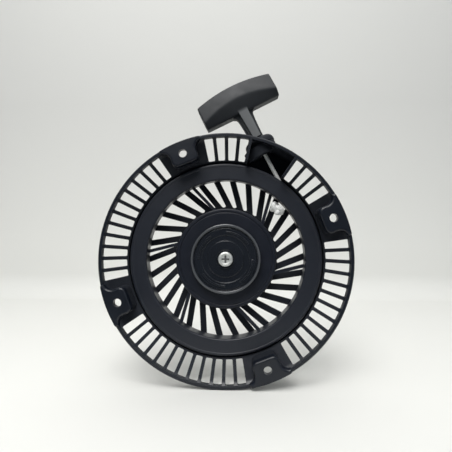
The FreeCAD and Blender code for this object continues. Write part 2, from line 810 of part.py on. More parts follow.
def build_rope_coil():
    """The turns of rope in the groove, as one ring."""
    inner, outer = dim("groove_floor") + 0.2, dim("rope_reach") + dim("rope_radius")
    top = dim("pulley_front") - dim("flange") - 0.2
    foot = top - dim("groove_width") + 0.4
    lathe("rope_coil", [
        (inner, foot), (outer - 1.2, foot), (outer, foot + 1.2, 1.2), (outer, top - 1.2),
        (outer - 1.2, top, 1.2), (inner, top),
    ])


# ---------------------------------------------------------------- pawls and springs

def build_pawl(name, side):
    """One pawl: an eye on its pin and an arm that ends in a square nose."""
    body = new_body(name)
    plan = new_sketch(body, "plan", height=dim("pawl_top"))
    long = dim("pawl_length")
    outline(plan, [
        (long - 1.6, -2.4), (long, -1.2), (long, 2.0), (long - 3.0, 2.4), (0, 4.0),
        (-4.0, 0, 4.0), (0, -4.0, 4.0),
    ])
    circle(plan, 0, 0, dim("pin_radius") + 0.04)
    extrude(body, "Pad", plan, dim("pawl_thickness"), "plate")
    there = turned(side).multiply(turned(DIMENSIONS["pawl_direction"], DIMENSIONS["pawl_pivot"]))
    stand(body, there)


def build_pawl_pins():
    """Two pins pressed into the hub."""
    body = new_body("pawl_pins")
    plan = new_sketch(body, "plan", height=dim("pawl_top") + 0.6)
    circle(plan, dim("pawl_pivot"), 0, dim("pin_radius"))
    circle(plan, -dim("pawl_pivot"), 0, dim("pin_radius"))
    extrude(body, "Pad", plan, dim("pawl_top") + 0.6 - dim("hub_top") + dim("hub_floor"), "pins")
    stand(body)


def coil_spring(name, radius, wire, pitch, turns, local):
    """A few turns of round wire about the working z axis."""
    spine = Part.makeHelix(pitch, pitch * turns, radius)
    start = FreeCAD.Vector(radius, 0, 0)
    ring = Part.Wire([Part.makeCircle(wire, start, FreeCAD.Vector(0, 1, 0))])
    spring = doc.addObject("Part::Feature", name)
    spring.Shape = Part.Wire(spine).makePipeShell([ring], True, True)
    stand(spring, local)


def build_small_springs():
    pivot = DIMENSIONS["pawl_pivot"]
    height = DIMENSIONS["hub_top"] - 1.75
    coil_spring("pawl_spring_a", 3.1, 0.3, 0.66, 2, turned(0, x=pivot, z=height))
    coil_spring("pawl_spring_b", 3.1, 0.3, 0.66, 2, turned(180, x=-pivot, z=height))
    coil_spring("friction_spring", 7.6, 0.5, 1.1, 1.4, turned(0, z=DIMENSIONS["post_top"] + 0.7))


def build_recoil_spring():
    """Flat spiral spring of half turns whose centres step from side to side."""
    inner, outer = DIMENSIONS["spring_inner"], DIMENSIONS["spring_outer"]
    half_turns = 2 * int(DIMENSIONS["spring_turns"])
    step = (outer - inner) / (half_turns - 1)
    thick = DIMENSIONS["spring_strip"]
    top = DIMENSIONS["hub_top"] - DIMENSIONS["hub_floor"] - 0.3
    foot = DIMENSIONS["cup_foot"] + 0.2

    def boundary(extra):
        arcs = []
        for i in range(half_turns):
            radius = inner + step * i + extra
            middle = step * (-0.5 if i % 2 == 0 else 0.5)
            side = 1 if i % 2 == 0 else -1
            begin = FreeCAD.Vector(middle + side * radius, 0, foot)
            crest = FreeCAD.Vector(middle, side * radius, foot)
            end = FreeCAD.Vector(middle - side * radius, 0, foot)
            arcs.append(Part.Arc(begin, crest, end).toShape())
        return arcs

    outside, inside = boundary(thick / 2), boundary(-thick / 2)
    caps = [Part.makeLine(outside[-1].Vertexes[-1].Point, inside[-1].Vertexes[-1].Point),
            Part.makeLine(inside[0].Vertexes[0].Point, outside[0].Vertexes[0].Point)]
    wire = Part.Wire(Part.__sortEdges__(outside + inside + caps))
    spring = doc.addObject("Part::Feature", "recoil_spring")
    spring.Shape = Part.Face(wire).extrude(FreeCAD.Vector(0, 0, top - foot))
    stand(spring)


def build_spring_anchor():
    """Steel clip on the foot of the post that holds the spring's inner end."""
    body = new_body("spring_anchor")
    plan = new_sketch(body, "plan", height=dim("spring_hub_top") - 0.4)
    near = dim("spring_hub") + 0.05
    outline(plan, [
        (near, -3.0), (near + 1.2, -3.0), (near + 1.2, 1.2),
        (near + 2.2, 1.2), (near + 2.2, 2.4), (near, 2.4),
    ])
    extrude(body, "Pad", plan, dim("spring_hub_top") - dim("face_inner") - 0.8, "clip")
    stand(body)


# ---------------------------------------------------------------- rope, guide and grip

def on_rope_line(place):
    """Working frame at a point of the rope's line: y along the rope, z towards the engine."""
    there = turned(0, x=DIMENSIONS["rope_reach"], y=place, z=DIMENSIONS["rope_height"])
    return turned(DIMENSIONS["rope_turn"]).multiply(there)


LATHE_ALONG_Y = FreeCAD.Placement(FreeCAD.Vector(0, 0, 0), FreeCAD.Rotation(FreeCAD.Vector(1, 0, 0), -90))


def build_rope_guide():
    """Collar on the outlet's end wall that the rope runs through and the grip rests on."""
    bore, radius, long = dim("guide_bore"), dim("guide_radius"), dim("guide_length")
    here = on_rope_line(DIMENSIONS["outlet_end"]).multiply(LATHE_ALONG_Y)
    lathe("rope_guide", [
        (bore + 1.2, -2.6), (dim("guide_spigot") - 0.04, -2.6), (dim("guide_spigot") - 0.04, 0.02),
        (radius - 0.8, 0.02), (radius, 0.8), (radius, long - 5.0), (radius - 5.0, long, 5.0),
        (bore + 2.6, long), (bore, long - 2.6, -2.6), (bore, -1.4),
    ], here)


def build_rope_line():
    """The rope from the pulley to the grip, straight along its line."""
    start, end = dim("line_start"), dim("grip_place") + dim("washer_seat") + 1.3
    here = on_rope_line(0).multiply(LATHE_ALONG_Y)
    lathe("rope_line", [(0, start), (dim("rope_radius"), start), (dim("rope_radius"), end), (0, end)], here)
    length = (end - start).value
    print("rope line: straight, %.1f mm long" % length)


def build_pulley_knot():
    """The knot inside the pulley's rim and the short end of rope through the rim."""
    radius, half = dim("knot_radius"), dim("knot_half")
    body = new_body("pulley_knot")
    section = new_sketch(body, "section", "XZ_Plane")
    outline(section, [
        (0, -half), (radius, radius - half, radius), (radius, half - radius), (0, half, radius),
    ])
    turn(body, section, "lump")
    end = new_sketch(body, "end", "YZ_Plane")
    circle(end, 0, 0, dim("rope_radius"))
    extrude(body, "Pad", end, dim("groove_floor") - dim("knot_place"), "stub", downwards=False)
    there = turned(0, x=DIMENSIONS["knot_place"], z=DIMENSIONS["knot_height"])
    spot = turned(DIMENSIONS["knot_turn"]).multiply(there)
    stand(body, spot.multiply(LATHE_ALONG_Y))


def build_grip():
    """T-shaped pull handle: six-sided bar with a crowned top, and a stem."""
    half, bottom, end_top = dim("grip_half"), dim("grip_bottom"), dim("grip_end_top")
    crown = dim("grip_crown")
    rise = crown - end_top
    sweep = (half * half + rise * rise) / (2.0 * rise)
    deep = dim("grip_depth") / 2.0
    high, low = deep * dim("grip_top_share"), deep * dim("grip_foot_share")
    body = new_body("grip")
    section = new_sketch(body, "section", "YZ_Plane")
    outline(section, [
        (bottom - 1.0, low), (0.5, deep), (crown + 1.0, high),
        (crown + 1.0, -high), (0.5, -deep), (bottom - 1.0, -low),
    ])
    extrude(body, "Pad", section, half * 2 + 6.0, "bar", symmetric=True)
    trim = new_sketch(body, "trim", height=Size(15.0))
    outline(trim, [(-50, -30), (50, -30), (50, 30), (-50, 30)])
    outline(trim, placed([
        (-half, bottom + 2.5), (2.5 - half, bottom), (half - 2.5, bottom), (half, bottom + 2.5),
        (half, end_top), (-half, end_top, sweep),
    ], dim("grip_tilt")))
    cut_out(body, trim, Size(30.0), "trim_cut")
    stem = new_sketch(body, "stem")
    foot = dim("stem_foot")
    outline(stem, [
        (-dim("stem_half_foot"), foot), (dim("stem_half_foot"), foot),
        (dim("stem_half_top"), bottom + 3.0), (-dim("stem_half_top"), bottom + 3.0),
    ])
    extrude(body, "Pad", stem, dim("stem_depth"), "stem_block", symmetric=True)
    pocket = new_sketch(body, "knot_pocket", "XZ_Plane", height=-(crown + 2.0))
    circle(pocket, 0, 0, dim("knot_pocket"))
    cut_out(body, pocket, crown + 2.0 - dim("washer_seat"), "knot_pocket_cut", downwards=False)
    bore = new_sketch(body, "bore", "XZ_Plane", height=-(dim("washer_seat") + 1.0))
    circle(bore, 0, 0, dim("guide_bore"))
    cut_out(body, bore, dim("washer_seat") + 2.0 - foot, "bore_cut", downwards=False)
    stand(body, on_rope_line(DIMENSIONS["grip_place"]))


def build_grip_inside():
    here = on_rope_line(DIMENSIONS["grip_place"]).multiply(LATHE_ALONG_Y)
    seat, pocket = dim("washer_seat"), dim("knot_pocket")
    tube("grip_washer", dim("rope_radius") + 0.3, pocket - 0.3, seat + 1.2, seat + 0.02, here)
    knot = dim("grip_knot")
    middle = seat + 1.3 + knot
    lathe("grip_knot", [(0, middle - knot), (knot, middle, knot), (0, middle + knot, knot)], here)
    crown = dim("grip_crown")
    lathe("grip_plug", [
        (0, crown - 3.6), (pocket - 0.06, crown - 3.6), (pocket - 0.06, crown - 0.5), (0, crown - 0.1),
    ], here)


build_housing()
build_pulley()
build_retainer()
build_centre_screw()
build_sleeves()
build_rope_coil()
build_pawl("pawl_a", 0)
build_pawl("pawl_b", 180)
build_pawl_pins()
build_small_springs()
build_recoil_spring()
build_spring_anchor()
build_rope_guide()
build_rope_line()
build_pulley_knot()
build_grip()
build_grip_inside()
doc.recompute()

for item in doc.Objects:
    broken = [word for word in item.State if word in ("Invalid", "Error")]
    if broken:
        raise RuntimeError("%s failed: %s" % (item.Name, item.State))
for piece in pieces:
    if piece.Shape.isNull() or not piece.Shape.isValid() or not piece.Shape.Solids:
        raise RuntimeError("%s has no valid solid" % piece.Label)

os.makedirs("parts", exist_ok=True)
for piece in pieces:
    piece.Shape.exportStep("parts/%s.step" % piece.Label)
    print("%-18s %d solids %10.1f mm3" % (piece.Label, len(piece.Shape.Solids), piece.Shape.Volume))
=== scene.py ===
"""Recoil starter seen from its engine side: finishes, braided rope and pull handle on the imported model.

Metres, in the model's own frame: X to the right, Y away from the engine, Z up. The mounting face is
at Y = 0 and the pulley turns about the Y axis.
"""
import math

import bmesh
import bpy
from mathutils import Matrix, Quaternion, Vector


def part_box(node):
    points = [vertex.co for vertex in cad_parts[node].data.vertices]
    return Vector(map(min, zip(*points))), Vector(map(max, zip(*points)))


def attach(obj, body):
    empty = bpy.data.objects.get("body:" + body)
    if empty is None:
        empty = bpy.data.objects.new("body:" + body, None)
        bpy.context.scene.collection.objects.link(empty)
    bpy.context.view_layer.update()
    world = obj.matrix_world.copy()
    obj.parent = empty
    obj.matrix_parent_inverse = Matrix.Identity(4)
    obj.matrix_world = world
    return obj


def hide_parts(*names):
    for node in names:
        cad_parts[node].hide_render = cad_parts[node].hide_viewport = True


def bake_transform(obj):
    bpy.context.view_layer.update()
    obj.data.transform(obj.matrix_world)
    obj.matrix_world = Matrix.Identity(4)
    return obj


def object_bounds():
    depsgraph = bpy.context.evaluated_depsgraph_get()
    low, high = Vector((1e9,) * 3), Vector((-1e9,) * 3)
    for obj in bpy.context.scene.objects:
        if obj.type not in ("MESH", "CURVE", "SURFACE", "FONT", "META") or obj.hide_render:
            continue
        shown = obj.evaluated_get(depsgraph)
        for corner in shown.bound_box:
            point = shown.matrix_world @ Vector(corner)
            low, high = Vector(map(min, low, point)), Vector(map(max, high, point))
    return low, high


MM = 0.001
ROPE_TURN = math.radians(28.5)   # where the rope leaves the pulley, from the X axis
ROPE_REACH = 77.0 * MM           # distance of the rope from the pulley's axis
PULL = Vector((-math.sin(ROPE_TURN), 0.0, math.cos(ROPE_TURN)))
OUTWARD = Vector((math.cos(ROPE_TURN), 0.0, math.sin(ROPE_TURN)))

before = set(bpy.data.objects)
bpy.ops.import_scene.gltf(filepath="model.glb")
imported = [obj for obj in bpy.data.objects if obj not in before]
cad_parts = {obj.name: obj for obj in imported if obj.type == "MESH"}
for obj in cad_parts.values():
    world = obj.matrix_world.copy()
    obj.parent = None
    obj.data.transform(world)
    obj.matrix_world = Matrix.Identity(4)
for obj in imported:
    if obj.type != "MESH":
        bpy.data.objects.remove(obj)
cad_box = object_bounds()


# ---------------------------------------------------------------- camera

LENS = 28.0
CAMERA_PLACE = Vector((0.0106, -0.3020, 0.0220))
CAMERA_YAW = math.radians(1.90)          # to the left of the Y axis
CAMERA_PITCH = math.radians(1.47)
CAMERA_ROLL = math.radians(1.0)


def add_camera():
    data = bpy.data.cameras.new("camera")
    data.lens = LENS
    data.clip_start = 0.01
    camera = bpy.data.objects.new("camera", data)
    level = math.cos(CAMERA_PITCH)
    forward = Vector((
        -math.sin(CAMERA_YAW) * level,
        math.cos(CAMERA_YAW) * level,
        math.sin(CAMERA_PITCH),
    ))
    camera.rotation_mode = "QUATERNION"
    camera.rotation_quaternion = forward.to_track_quat("-Z", "Y") @ Quaternion((0, 0, 1), CAMERA_ROLL)
    camera.location = CAMERA_PLACE
    bpy.context.scene.collection.objects.link(camera)
    bpy.context.scene.camera = camera


add_camera()


# ---------------------------------------------------------------- materials

class Shader:
    """A material in the making, with short calls for the nodes that the finishes share."""

    def __init__(self, name):
        self.material = bpy.data.materials.new(name)
        self.material.use_nodes = True
        self.tree = self.material.node_tree
        self.surface = self.tree.nodes["Principled BSDF"]
        self.place = self.add("ShaderNodeTexCoord").outputs["Object"]

    def add(self, kind, **settings):
        node = self.tree.nodes.new(kind)
        for key, value in settings.items():
            setattr(node, key, value)
        return node

    def join(self, output, socket):
        self.tree.links.new(output, socket)

    def set(self, **values):
        for key, value in values.items():
            self.surface.inputs[key.replace("_", " ")].default_value = value

    def math(self, operation, *values):
        node = self.add("ShaderNodeMath", operation=operation)
        for socket, value in zip(node.inputs, values):
            if isinstance(value, (int, float)):
                socket.default_value = value
            else:
                self.join(value, socket)
        return node.outputs[0]

    def coordinate(self, axis):
        """X, Y or Z of the place, in the model's frame."""
        split = self.add("ShaderNodeSeparateXYZ")
        self.join(self.place, split.inputs[0])
        return split.outputs[axis]

    def distance_along(self, direction):
        """How far the place lies along a direction from the model's origin."""
        dot = self.add("ShaderNodeVectorMath", operation="DOT_PRODUCT")
        self.join(self.place, dot.inputs[0])
        dot.inputs[1].default_value = direction
        return dot.outputs["Value"]

    def noise(self, size, detail=3.0, rough=0.55, stretch=(1, 1, 1)):
        """Noise whose blobs are about size metres across."""
        mapping = self.add("ShaderNodeMapping")
        mapping.inputs["Scale"].default_value = stretch
        self.join(self.place, mapping.inputs["Vector"])
        node = self.add("ShaderNodeTexNoise")
        node.inputs["Scale"].default_value = 1.0 / size
        node.inputs["Detail"].default_value = detail
        node.inputs["Roughness"].default_value = rough
        self.join(mapping.outputs[0], node.inputs["Vector"])
        return node.outputs[0]

    def ranged(self, value, low, high, start=0.0, end=1.0):
        """From low to high while value goes from start to end, and level beyond."""
        node = self.add("ShaderNodeMapRange")
        node.inputs["From Min"].default_value = start
        node.inputs["From Max"].default_value = end
        node.inputs["To Min"].default_value = low
        node.inputs["To Max"].default_value = high
        self.join(value, node.inputs["Value"])
        return node.outputs[0]

    def blend(self, factor, first, second):
        """From first to second as factor rises; each is a colour or a node's output."""
        node = self.add("ShaderNodeMix", data_type="RGBA")
        self.join(factor, node.inputs["Factor"])
        for value, socket in ((first, node.inputs["A"]), (second, node.inputs["B"])):
            if isinstance(value, tuple):
                socket.default_value = (*value, 1.0)
            else:
                self.join(value, socket)
        return node.outputs["Result"]

    def colour(self, output):
        self.join(output, self.surface.inputs["Base Color"])

    def roughness(self, output):
        self.join(output, self.surface.inputs["Roughness"])

    def round_edges(self, radius):
        """Normal that rounds every edge by radius."""
        node = self.add("ShaderNodeBevel", samples=6)
        node.inputs["Radius"].default_value = radius
        return node.outputs[0]

    def edge_mask(self, radius):
        """1 along the edges and 0 on flat surface."""
        dot = self.add("ShaderNodeVectorMath", operation="DOT_PRODUCT")
        self.join(self.round_edges(radius), dot.inputs[0])
        self.join(self.add("ShaderNodeNewGeometry").outputs["Normal"], dot.inputs[1])
        return self.ranged(dot.outputs["Value"], 1.0, 0.0, 0.82, 0.99)

    def bump(self, height, depth, normal=None):
        """Normal of a surface with this height map, on top of another normal if one is given."""
        node = self.add("ShaderNodeBump")
        node.inputs["Distance"].default_value = depth
        self.join(height, node.inputs["Height"])
        if normal is not None:
            self.join(normal, node.inputs["Normal"])
        return node.outputs[0]

    def normal(self, output):
        self.join(output, self.surface.inputs["Normal"])


RUB_WIDTH = 1.6                  # of the paler edges, as a share of their rounding
DULL_ROUGHNESS = 0.45            # added where a plastic is matt
WORN_ROUGHNESS = 0.15            # added along rubbed edges


def moulded_plastic(name, dark, light, worn, gloss, grain, ior, edge=0.45 * MM, relief=0.05,
                    painted_light=None, dull=None):
    """Injection-moulded plastic: a fine grain, soft flow marks, and edges rubbed a little paler.

    dark and light are the colours of its clouds, worn that of its edges, and gloss the range of its
    roughness. grain is the size of the grain and relief its depth as a share of that size. The pair of a
    mask and a paler colour, if given, paints light and highlights where it masks: painted light. dull
    masks the places with a matt surface.
    """
    shader = Shader(name)
    cloud = shader.noise(26 * MM, 4.0)
    body = shader.blend(shader.ranged(cloud, 0, 1, 0.3, 0.7), dark, light)
    # Painted light and painted highlights: a paler colour, in patches, where the mask is.
    if painted_light:
        mask, pale = painted_light
        patches = shader.ranged(shader.noise(5 * MM, 5.0, 0.7), 0.75, 1.0)
        body = shader.blend(shader.math("MULTIPLY", mask(shader), patches), body, pale)
    rub = shader.math("MULTIPLY", shader.edge_mask(edge * RUB_WIDTH), shader.noise(7 * MM, 5.0, 0.7))
    shader.colour(shader.blend(rub, body, worn))
    matt = shader.ranged(shader.noise(9 * MM, 6.0, 0.65), gloss[0], gloss[1], 0.25, 0.75)
    if dull:
        matt = shader.math("ADD", matt, shader.math("MULTIPLY", dull(shader), DULL_ROUGHNESS))
    shader.roughness(shader.math("ADD", matt, shader.math("MULTIPLY", rub, WORN_ROUGHNESS)))
    flow = shader.bump(shader.noise(14 * MM, 2.0), 0.06 * MM, shader.round_edges(edge))
    shader.normal(shader.bump(shader.noise(grain, 2.0, 0.5), grain * relief, flow))
    shader.set(IOR=ior)
    return shader.material


def axis_distance(shader):
    """Distance from the pulley's axis."""
    flat = shader.add("ShaderNodeVectorMath", operation="MULTIPLY")
    shader.join(shader.place, flat.inputs[0])
    flat.inputs[1].default_value = (1, 0, 1)
    length = shader.add("ShaderNodeVectorMath", operation="LENGTH")
    shader.join(flat.outputs[0], length.inputs[0])
    return length.outputs["Value"]


def off_axis(start, end):
    """Mask that rises from 0 to 1 between two distances from the pulley's axis."""
    def mask(shader):
        return shader.ranged(axis_distance(shader), 0, 1, start, end)
    return mask


def on_ring(radius, half):
    """Mask of a narrow ring about the pulley's axis, soft at its sides."""
    def mask(shader):
        away = shader.math("ABSOLUTE", shader.math("SUBTRACT", axis_distance(shader), radius))
        return shader.ranged(away, 1, 0, half * 0.35, half)
    return mask


STEM_LIGHT_FADE = (112.0 * MM, 115.0 * MM)     # along the pull, where the painted light on the stem's faces ends
STEM_SIDES = (4.6 * MM, 5.2 * MM)        # from the stem's middle, where its faces end
RIM_BACK = (5.8 * MM, 7.0 * MM)          # in Y, where the housing's rim ends
PULLEY_LIT_RING = (56 * MM, 74 * MM)          # from the axis, where the pulley is painted paler: painted light on its front ring
# Painted highlight: a pale ring painted all round the retainer's bead.
BEAD_HIGHLIGHT_RADIUS = 30.9 * MM                  # middle of the painted highlight, a pale ring on the retainer's bead
BEAD_HIGHLIGHT_HALF = 1.3 * MM


def stem_painted_light(shader):
    """Mask of the painted light on the flat faces of the grip's stem, front and back, fading out towards
    the bar.
    """
    near = shader.ranged(shader.distance_along(PULL), 1, 0, *STEM_LIGHT_FADE)
    facing = shader.add("ShaderNodeSeparateXYZ")
    shader.join(shader.add("ShaderNodeTexCoord").outputs["Normal"], facing.inputs[0])
    flat = shader.ranged(shader.math("ABSOLUTE", facing.outputs["Y"]), 0, 1, 0.93, 0.98)
    offset = shader.math("SUBTRACT", shader.distance_along(OUTWARD), ROPE_REACH)
    inside = shader.ranged(shader.math("ABSOLUTE", offset), 1, 0, *STEM_SIDES)
    return shader.math("MULTIPLY", shader.math("MULTIPLY", near, flat), inside)


def behind_rim(shader):
    """Mask of the slotted wall and the drum, which are duller than the rim and the bolt pads."""
    return shader.ranged(shader.coordinate("Y"), 0, 1, *RIM_BACK)


def housing_plastic():
    return moulded_plastic(
        "housing_plastic",
        dark=(0.0036, 0.0055, 0.0105), light=(0.0068, 0.0095, 0.0160), worn=(0.040, 0.046, 0.054),
        gloss=(0.27, 0.41), grain=0.34 * MM, ior=1.45, dull=behind_rim,
    )


def pulley_plastic():
    return moulded_plastic(
        "pulley_plastic",
        dark=(0.0046, 0.0066, 0.0135), light=(0.0080, 0.0104, 0.0185), worn=(0.042, 0.046, 0.054),
        gloss=(0.34, 0.46), grain=0.28 * MM, ior=1.44, relief=0.035,
        # Painted light: the pulley's front ring is painted paler where it catches the light.
        painted_light=(off_axis(*PULLEY_LIT_RING), (0.0150, 0.0176, 0.0250)),
    )


def retainer_plastic():
    return moulded_plastic(
        "retainer_plastic",
        dark=(0.0050, 0.0068, 0.0110), light=(0.0085, 0.0108, 0.0160), worn=(0.040, 0.043, 0.048),
        gloss=(0.15, 0.25), grain=0.25 * MM, ior=1.51, relief=0.012,
        # Painted highlight: a pale ring painted on the retainer's bead where it would catch the light.
        painted_light=(on_ring(BEAD_HIGHLIGHT_RADIUS, BEAD_HIGHLIGHT_HALF), (0.085, 0.090, 0.098)),
    )


def grip_plastic():
    return moulded_plastic(
        "grip_plastic",
        dark=(0.0120, 0.0140, 0.0170), light=(0.0190, 0.0215, 0.0250), worn=(0.065, 0.070, 0.075),
        gloss=(0.46, 0.62), grain=0.55 * MM, ior=1.41, edge=0.5 * MM,
        # Painted light: the stem's flat faces are painted paler, as where they catch the light.
        painted_light=(stem_painted_light, (0.160, 0.166, 0.170)),
    )


# Colour of the painted shade in the screw head's recess.
RECESS_SHADE_COLOUR = (0.045, 0.045, 0.042)
METAL_EDGE = 0.25 * MM


def plated_steel(name, dark, light, gloss, streak=(1, 1, 1), recess_shade=None):
    """Bright metal with fine tool marks and duller patches. The recess mask, if given, marks where the
    metal is painted dark: painted shade.
    """
    shader = Shader(name)
    patches = shader.noise(2.2 * MM, 5.0, 0.65)
    marks = shader.noise(0.5 * MM, 3.0, 0.5, streak)
    metal = shader.blend(shader.ranged(patches, 0, 1, 0.35, 0.65), light, dark)
    if recess_shade:
        # Painted shade: darker where the recess mask is.
        metal = shader.blend(recess_shade(shader), metal, RECESS_SHADE_COLOUR)
    shader.colour(metal)
    shader.roughness(shader.ranged(shader.math("ADD", patches, marks), gloss[0], gloss[1], 0.6, 1.4))
    shader.normal(shader.bump(marks, 0.012 * MM, shader.round_edges(METAL_EDGE)))
    shader.set(Metallic=1.0)
    return shader.material


DISH_DEPTH = 0.9 * MM            # of the dish in the centre screw's head
CROSS_DEPTH = 2.6 * MM           # where the painted shade in its cross is darkest
DISH_EDGE = (4.6 * MM, 4.9 * MM)
# How dark the painted shade in the screw's recess is.
SHADE_COVER = 0.75


def screw_recess(shader):
    """Mask of the painted shade in the centre screw's head: light in the dish, heavy in the cross."""
    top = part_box("centre_screw")[0].y
    deep = shader.ranged(shader.coordinate("Y"), 0, 1, top + DISH_DEPTH, top + CROSS_DEPTH)
    middle = shader.math("SUBTRACT", 1.0, off_axis(*DISH_EDGE)(shader))
    return shader.math("MULTIPLY", shader.math("MULTIPLY", deep, middle), SHADE_COVER)


def zinc_steel():
    # Painted shade in the centre screw's dish and cross.
    return plated_steel("zinc_steel", (0.72, 0.73, 0.70), (0.92, 0.93, 0.90), (0.42, 0.60),
                        recess_shade=screw_recess)


def plain_steel():
    return plated_steel("plain_steel", (0.36, 0.36, 0.37), (0.52, 0.52, 0.53), (0.25, 0.45))


def pawl_steel():
    return plated_steel("pawl_steel", (0.26, 0.25, 0.25), (0.40, 0.39, 0.38), (0.35, 0.6))


def spring_steel():
    return plated_steel("spring_steel", (0.16, 0.17, 0.20), (0.30, 0.31, 0.34), (0.25, 0.4),
                        streak=(1, 0.1, 1))


def brass():
    return plated_steel("brass", (0.55, 0.38, 0.15), (0.76, 0.56, 0.26), (0.28, 0.45))


def bronze():
    return plated_steel("bronze", (0.38, 0.22, 0.10), (0.54, 0.34, 0.17), (0.35, 0.55))


STRANDS = 8                      # strands each way round the braided rope
BRAID_PITCH = 13.0 * MM          # length of rope for one full turn of a strand


def rope_braid():
    """White braided cord: two sets of strands over and under each other, each of fine twisted fibres.

    The UV map counts strands, so that strands one way lie at whole U - V and the others at whole U + V.
    """
    shader = Shader("rope_braid")
    split = shader.add("ShaderNodeSeparateXYZ")
    shader.join(shader.add("ShaderNodeTexCoord").outputs["UV"], split.inputs[0])
    warp, weft = (
        shader.math("COSINE", shader.math("MULTIPLY", shader.math(way, *split.outputs[:2]), math.pi))
        for way in ("SUBTRACT", "ADD")
    )
    lift = shader.math("MULTIPLY", shader.math("SIGN", warp), shader.math("SIGN", weft))
    over = shader.math("MULTIPLY", lift, 0.22)
    first = shader.math("ADD", shader.math("ABSOLUTE", warp), over)
    second = shader.math("SUBTRACT", shader.math("ABSOLUTE", weft), over)
    height = shader.math("SMOOTH_MAX", first, second, 0.12)
    fibre = shader.noise(0.16 * MM, 3.0, 0.6)
    soil = shader.noise(11 * MM, 4.0, 0.6)
    soiled = shader.ranged(soil, 0, 1, 0.3, 0.75)
    clean = shader.blend(soiled, (0.96, 0.97, 0.95), (0.90, 0.91, 0.88))
    # Painted shade: the valleys between the strands are painted darker grey.
    raised = shader.ranged(height, 0, 1, 0.35, 0.95)
    shader.colour(shader.blend(raised, (0.50, 0.50, 0.47), clean))
    shader.roughness(shader.ranged(fibre, 0.62, 0.86))
    relief = shader.bump(height, 0.16 * MM)
    shader.normal(shader.bump(fibre, 0.03 * MM, relief))
    shader.set(Sheen_Weight=0.25, Sheen_Roughness=0.4)
    return shader.material


WALL_SHADE_HEIGHTS = (0.11, 0.42)         # heights between which the wall is painted darker upwards: painted shade


def backdrop_paper():
    shader = Shader("backdrop_paper")
    cloud = shader.noise(0.35, 2.0)
    # Painted shade: the wall is painted darker towards its top.
    wall_shade = shader.ranged(shader.coordinate("Z"), 0, 1, *WALL_SHADE_HEIGHTS)
    low = shader.blend(cloud, (0.740, 0.740, 0.713), (0.775, 0.775, 0.748))
    shader.colour(shader.blend(wall_shade, low, (0.63, 0.63, 0.61)))
    shader.roughness(shader.ranged(shader.noise(3 * MM, 3.0), 0.75, 0.95))
    shader.normal(shader.bump(shader.noise(1.5 * MM, 3.0), 0.02 * MM))
    return shader.material


FINISHES = {
    "housing_plastic": housing_plastic(),
    "pulley_plastic": pulley_plastic(),
    "retainer_plastic": retainer_plastic(),
    "grip_plastic": grip_plastic(),
    "zinc_steel": zinc_steel(),
    "steel": plain_steel(),
    "pawl_steel": pawl_steel(),
    "spring_steel": spring_steel(),
    "brass": brass(),
    "bronze": bronze(),
    "rope": rope_braid(),
}


def finish_cad_nodes():
    """Every CAD node takes the finish of its own material slot."""
    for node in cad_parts.values():
        for holder in node.material_slots:
            holder.material = FINISHES[holder.material.name.split(".")[0]]


# ---------------------------------------------------------------- mesh helpers

def new_piece(name, mesh, finish, body, node):
    """A piece of the object: shown in place of a CAD node, and moving with the body if one is named."""
    piece = bpy.data.objects.new(name, mesh)
    bpy.context.scene.collection.objects.link(piece)
    mesh.materials.clear()
    mesh.materials.append(FINISHES[finish])
    if body:
        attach(piece, body)
    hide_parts(node)
    return piece


def lofted(rings, place):
    """Closed mesh through rings of equally many points, as a bmesh."""
    bm = bmesh.new()
    loops = [[bm.verts.new(place @ Vector(point)) for point in ring] for ring in rings]
    for low, high in zip(loops, loops[1:]):
        for i in range(len(low)):
            j = (i + 1) % len(low)
            bm.faces.new((low[i], low[j], high[j], high[i]))
    bm.faces.new(reversed(loops[0]))
    bm.faces.new(loops[-1])
    bmesh.ops.recalc_face_normals(bm, faces=bm.faces)
    return bm


def loose(name, bm):
    """The bmesh as an object of its own, for modifiers."""
    mesh = bpy.data.meshes.new(name)
    bm.to_mesh(mesh)
    bm.free()
    made = bpy.data.objects.new(name, mesh)
    bpy.context.scene.collection.objects.link(made)
    return made


def final_mesh(made):
    """The object's mesh with its modifiers applied; the object itself goes."""
    bpy.context.view_layer.update()
    shown = made.evaluated_get(bpy.context.evaluated_depsgraph_get())
    mesh = bpy.data.meshes.new_from_object(shown)
    bpy.data.objects.remove(made)
    return mesh


def combined(name, first, others, operation):
    """One mesh: first with the others added or cut away."""
    for number, other in enumerate(others):
        modifier = first.modifiers.new("join%d" % number, "BOOLEAN")
        modifier.operation = operation
        modifier.solver = "EXACT"
        modifier.object = other
    mesh = final_mesh(first)
    for other in others:
        bpy.data.objects.remove(other)
    made = bpy.data.objects.new(name, mesh)
    bpy.context.scene.collection.objects.link(made)
    return made


# ---------------------------------------------------------------- rope

ROPE_RADIUS = 1.9 * MM
BRAID_ROUND = 0.6                # power that squares off a strand's section; 1 would be a cosine
BRAID_RELIEF = 0.22 * MM
BRAID_CROSSING = 0.3             # lift of a strand that crosses over, as a share of its height
END_RADIUS = 0.04                # share of the radius left at the tip of a cord


def braid_height(across, along):
    """Height of the braid, up to 1.3, at a place counted in strands as on the rope's UV map."""
    warp, weft = math.cos(math.pi * (across - along)), math.cos(math.pi * (across + along))
    over = BRAID_CROSSING * math.copysign(1, warp) * math.copysign(1, weft)
    first = abs(warp) ** BRAID_ROUND + over * abs(weft)
    second = abs(weft) ** BRAID_ROUND - over * abs(warp)
    return max(first, second)


